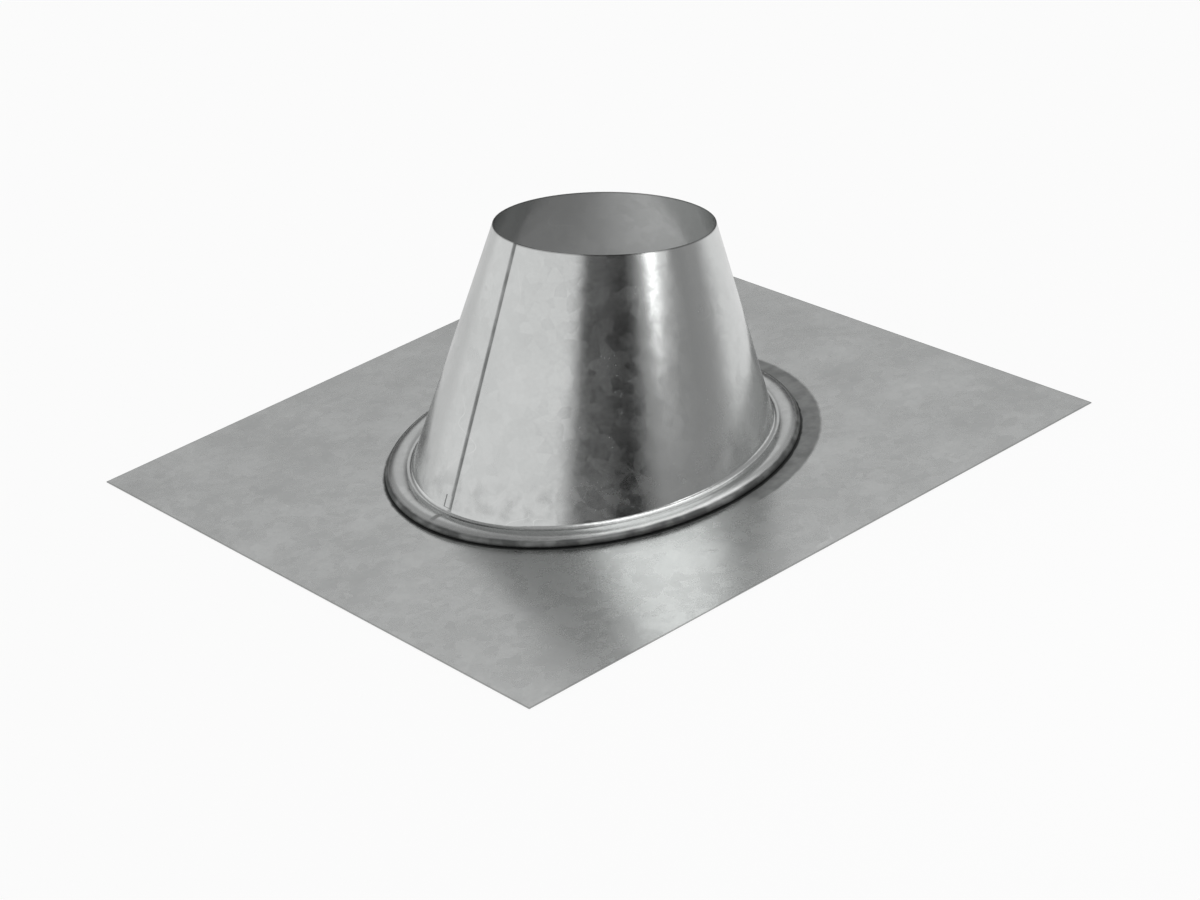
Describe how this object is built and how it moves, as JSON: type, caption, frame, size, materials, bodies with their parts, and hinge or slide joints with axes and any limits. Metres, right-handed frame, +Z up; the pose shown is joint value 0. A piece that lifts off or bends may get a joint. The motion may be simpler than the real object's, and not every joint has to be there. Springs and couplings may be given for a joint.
{
  "type": "pipe flashing boot",
  "caption": "Sheet-steel roof flashing: flat square base plate with a leaning open cone, locked on by a rolled round seam, that weathers a vent pipe through a pitched roof",
  "frame": {"origin": "middle of the base plate's flat underside, where it lies on the roof deck", "axes": "+Z up off the deck, +Y up the slope (the way the cone leans), +X along the eave"},
  "size_m": [0.406, 0.4, 0.1401],
  "materials": {
    "galvanised_sheet": "hot-dip zinc coating with faint spangle, satin to semi-bright, rolled cloudy reflections"
  },
  "bodies": {
    "root": {"base_plate": "galvanised_sheet", "cone": "galvanised_sheet"}
  },
  "joints": []
}
